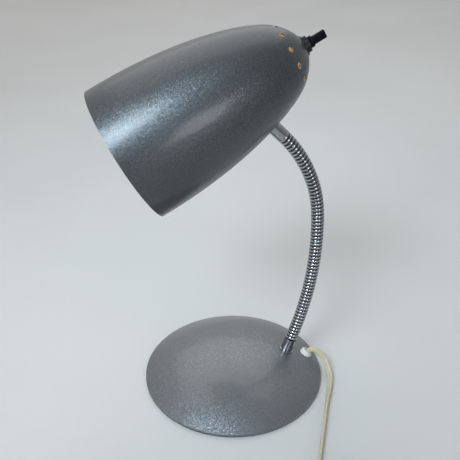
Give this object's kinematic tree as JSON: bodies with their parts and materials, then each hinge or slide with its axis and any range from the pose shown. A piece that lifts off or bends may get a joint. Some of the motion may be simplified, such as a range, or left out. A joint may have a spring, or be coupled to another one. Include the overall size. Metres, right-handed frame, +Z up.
{
  "type": "desk lamp",
  "caption": "Gooseneck desk lamp with a bullet-shaped vented metal shade, rotary paddle switch, flexible chrome neck, domed round weighted base and a mains cord with a plug.",
  "frame": {"origin": "middle of the round base, on the surface that the lamp stands on", "axes": "+Z up; +Y towards the rear of the base, where the neck and the cord leave it, so the shade's mouth faces -Y; +X across"},
  "size_m": [0.2979, 0.2333, 0.3014],
  "materials": {
    "grey_paint": "satin metallic flake paint, white inside the shade",
    "chrome": "bright chrome plate",
    "steel": "zinc plated",
    "iron": "raw casting",
    "black_plastic": "moulded, slightly glossy",
    "white_ceramic": "glazed",
    "dark_metal": "blackened metal",
    "brass": "plain",
    "white_plastic": "smooth",
    "cream_plastic": "soft vinyl",
    "wire_cover": "soft vinyl",
    "felt": "felt",
    "glass": "frosted",
    "aluminium": "rolled screw thread, drawn plain"
  },
  "bodies": {
    "base": {"base_dome": "grey_paint", "base_felt": "felt", "base_lead": "wire_cover", "base_plate": "steel", "base_weight": "iron", "cord_bushing": "white_plastic", "cord_coil": "cream_plastic", "cord_lead": "cream_plastic", "cord_tail": "cream_plastic", "cord_tie": "black_plastic", "foot_collar": "chrome", "foot_ferrule": "chrome", "foot_lock_washer": "steel", "foot_nut": "steel", "plate_screws": "steel", "plug_blades": "brass", "plug_body": "cream_plastic", "weight_bolt": "steel", "weight_boss": "steel", "neck_section_1": "chrome", "neck_lead_1": "wire_cover"},
    "neck_2": {"neck_section_2": "chrome", "neck_lead_2": "wire_cover"},
    "neck_3": {"neck_section_3": "chrome", "neck_lead_3": "wire_cover"},
    "neck_4": {"neck_section_4": "chrome", "neck_lead_4": "wire_cover"},
    "neck_5": {"neck_section_5": "chrome", "neck_lead_5": "wire_cover"},
    "neck_6": {"neck_section_6": "chrome", "neck_lead_6": "wire_cover"},
    "neck_7": {"neck_section_7": "chrome", "neck_lead_7": "wire_cover"},
    "neck_8": {"neck_section_8": "chrome", "neck_lead_8": "wire_cover"},
    "head": {"neck_section_9": "chrome", "neck_lead_9": "wire_cover", "head_ferrule": "chrome", "head_lead": "wire_cover", "head_lock_washer": "steel", "head_nut": "steel", "shade": "grey_paint", "switch_washer": "dark_metal", "switch_ring_nut": "dark_metal", "switch_bushing": "dark_metal", "switch_housing": "white_ceramic", "switch_leaf": "brass", "lamp_holder": "white_ceramic", "holder_contact": "brass", "holder_screws": "steel", "holder_shell": "brass", "bulb_cap": "aluminium", "bulb_glass": "glass", "bulb_tip": "brass"},
    "switch": {"switch_knob": "black_plastic", "switch_rotor": "black_plastic"}
  },
  "joints": [
    {"name": "bend_1", "type": "hinge", "parent": "base", "child": "neck_2", "pos_m": [0, 0.05903, 0.05075], "axis": [1, 0, 0], "range_deg": [-12, 12]},
    {"name": "sway_1", "type": "hinge", "parent": "neck_2", "child": "neck_3", "pos_m": [0, 0.06402, 0.07273], "axis": [0, 0.9826, -0.1857], "range_deg": [-12, 12]},
    {"name": "bend_2", "type": "hinge", "parent": "neck_3", "child": "neck_4", "pos_m": [0, 0.06739, 0.09501], "axis": [1, 0, 0], "range_deg": [-12, 12]},
    {"name": "sway_2", "type": "hinge", "parent": "neck_4", "child": "neck_5", "pos_m": [0, 0.06913, 0.11748], "axis": [0, 0.9992, -0.0406], "range_deg": [-12, 12]},
    {"name": "bend_3", "type": "hinge", "parent": "neck_5", "child": "neck_6", "pos_m": [0, 0.06922, 0.14002], "axis": [1, 0, 0], "range_deg": [-12, 12]},
    {"name": "sway_3", "type": "hinge", "parent": "neck_6", "child": "neck_7", "pos_m": [0, 0.06732, 0.16247], "axis": [0, 0.9856, 0.1691], "range_deg": [-12, 12]},
    {"name": "bend_4", "type": "hinge", "parent": "neck_7", "child": "neck_8", "pos_m": [0, 0.06125, 0.18414], "axis": [1, 0, 0], "range_deg": [-12, 12]},
    {"name": "sway_4", "type": "hinge", "parent": "neck_8", "child": "head", "pos_m": [0, 0.05086, 0.2041], "axis": [0, 0.8347, 0.5507], "range_deg": [-12, 12]},
    {"name": "switch_turn", "type": "hinge", "parent": "head", "child": "switch", "pos_m": [0, 0.04865, 0.28583], "axis": [0, 0.878, 0.4787], "continuous": true}
  ],
  "couplings": [
    {"joint": "bend_2", "follows": "bend_1", "ratio": 1},
    {"joint": "bend_3", "follows": "bend_1", "ratio": 1},
    {"joint": "bend_4", "follows": "bend_1", "ratio": 1},
    {"joint": "sway_2", "follows": "sway_1", "ratio": 1},
    {"joint": "sway_3", "follows": "sway_1", "ratio": 1},
    {"joint": "sway_4", "follows": "sway_1", "ratio": 1}
  ]
}
